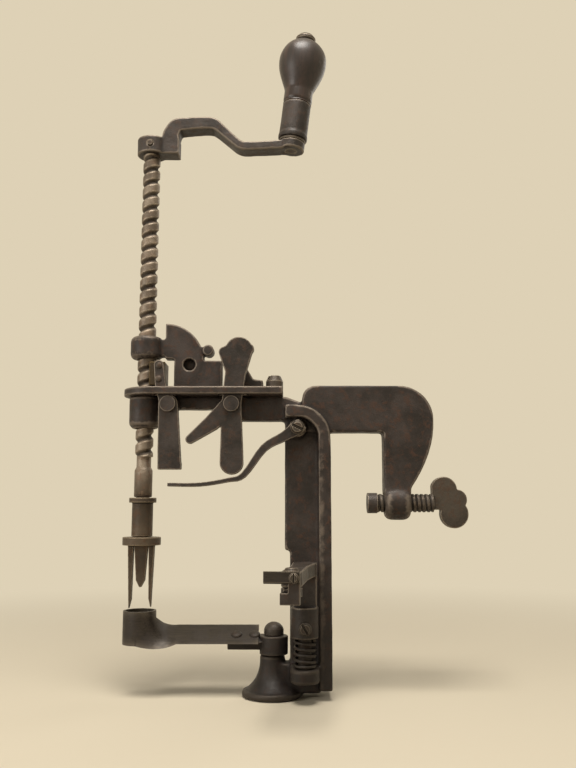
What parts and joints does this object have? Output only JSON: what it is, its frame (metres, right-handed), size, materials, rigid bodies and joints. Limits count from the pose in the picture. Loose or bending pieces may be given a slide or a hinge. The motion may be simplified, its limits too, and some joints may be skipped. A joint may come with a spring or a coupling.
{
  "type": "apple peeler",
  "caption": "Clamp-on hand-cranked apple peeler, corer and slicer: screw spindle with fork, half nut latch, coring ring with slicing blade, paring arm and wooden handle.",
  "frame": {"origin": "on the face of the bar that rests against the table's edge, on the axis of the clamp's thumb screw", "axes": "+X out of that face across the clamp's gap, +Z along the spindle towards the crank, +Y to the back; the part is stored standing on end as pictured, and +Z lies level when it is clamped to a table"},
  "size_m": [0.1579, 0.0862, 0.3157],
  "materials": {
    "frame_iron": "worn dark brown japanned cast iron",
    "worn_iron": "worn dark cast iron with rubbed edges",
    "rusty_steel": "grey-brown steel with old rust in the grooves",
    "dark_steel": "darkened steel",
    "blade_steel": "stained thin steel",
    "dark_wood": "dark stained turned wood",
    "shoe_bronze": "dull bronze"
  },
  "bodies": {
    "frame": {"frame_casting": "frame_iron", "bearing_bracket": "worn_iron", "bracket_screw": "dark_steel", "half_nut_pin": "dark_steel", "release_pin": "dark_steel", "latch_spring": "dark_steel", "spring_screw": "dark_steel", "cutter_post": "dark_steel", "cutter_cap_nut": "dark_steel", "paring_stud": "dark_steel", "arm_spring": "dark_steel"},
    "feed": {"stripper_sleeve": "rusty_steel"},
    "spindle": {"lead_screw": "rusty_steel", "fork": "rusty_steel", "crank_arm": "worn_iron", "crank_pin": "dark_steel", "handle_pin": "dark_steel", "handle_washer": "dark_steel"},
    "handle": {"handle_grip": "dark_wood", "handle_ferrule": "worn_iron"},
    "half_nut": {"half_nut_lever": "worn_iron", "half_nut_shoe": "shoe_bronze", "shoe_rivets": "dark_steel"},
    "release": {"release_lever": "worn_iron"},
    "clamp_pad": {"clamp_pad": "worn_iron"},
    "thumb": {"thumb_screw": "dark_steel"},
    "cutter": {"cutter_arm": "worn_iron", "coring_ring": "blade_steel", "slicing_knife": "blade_steel", "knife_rivets": "dark_steel"},
    "paring": {"paring_arm": "worn_iron", "arm_screw": "dark_steel", "head_pin": "dark_steel"},
    "paring_head": {"blade_holder": "worn_iron", "paring_blade": "blade_steel", "blade_screw": "dark_steel"}
  },
  "joints": [
    {"name": "crank_turn", "type": "hinge", "parent": "feed", "child": "spindle", "pos_m": [-0.0855, 0, 0], "axis": [0, 0, 1], "range_deg": [-1441, 1621]},
    {"name": "spindle_feed", "type": "slide", "parent": "frame", "child": "feed", "axis": [0, 0, 1], "range_m": [-0.026, 0.02925]},
    {"name": "handle_spin", "type": "hinge", "parent": "spindle", "child": "handle", "pos_m": [-0.0172, 0, 0.17455], "axis": [0.1253, 0, 0.9921], "continuous": true},
    {"name": "release_pull", "type": "hinge", "parent": "frame", "child": "release", "pos_m": [-0.0448, 0, 0.0443], "axis": [0, 1, 0], "range_deg": [0, 8], "stiffness_Nm_per_rad": 0.3, "springref_deg": -8.59},
    {"name": "half_nut_swing", "type": "hinge", "parent": "frame", "child": "half_nut", "pos_m": [-0.0735, 0, 0.0443], "axis": [0, 1, 0], "range_deg": [0, 8.1]},
    {"name": "thumb_turn", "type": "hinge", "parent": "clamp_pad", "child": "thumb", "pos_m": [0.0169, 0, 0], "axis": [1, 0, 0], "range_deg": [-1081, 405.5]},
    {"name": "clamp_feed", "type": "slide", "parent": "frame", "child": "clamp_pad", "axis": [1, 0, 0], "range_m": [-0.0063, 0.00236]},
    {"name": "cutter_swing", "type": "hinge", "parent": "frame", "child": "cutter", "pos_m": [-0.0255, 0, -0.062], "axis": [0, 0, 1], "range_deg": [-95, 0]},
    {"name": "paring_swing", "type": "hinge", "parent": "frame", "child": "paring", "pos_m": [-0.012, -0.015, -0.052], "axis": [0, 0, 1], "range_deg": [-82, 8], "stiffness_Nm_per_rad": 0.08},
    {"name": "head_swivel", "type": "hinge", "parent": "paring", "child": "paring_head", "pos_m": [-0.01785, -0.06264, -0.033], "axis": [0, 0, 1], "range_deg": [-25, 25]}
  ],
  "couplings": [
    {"joint": "crank_turn", "follows": "spindle_feed", "rad_per_m": 966.64},
    {"joint": "half_nut_swing", "follows": "release_pull", "ratio": 1},
    {"joint": "thumb_turn", "follows": "clamp_feed", "rad_per_m": 2992}
  ]
}
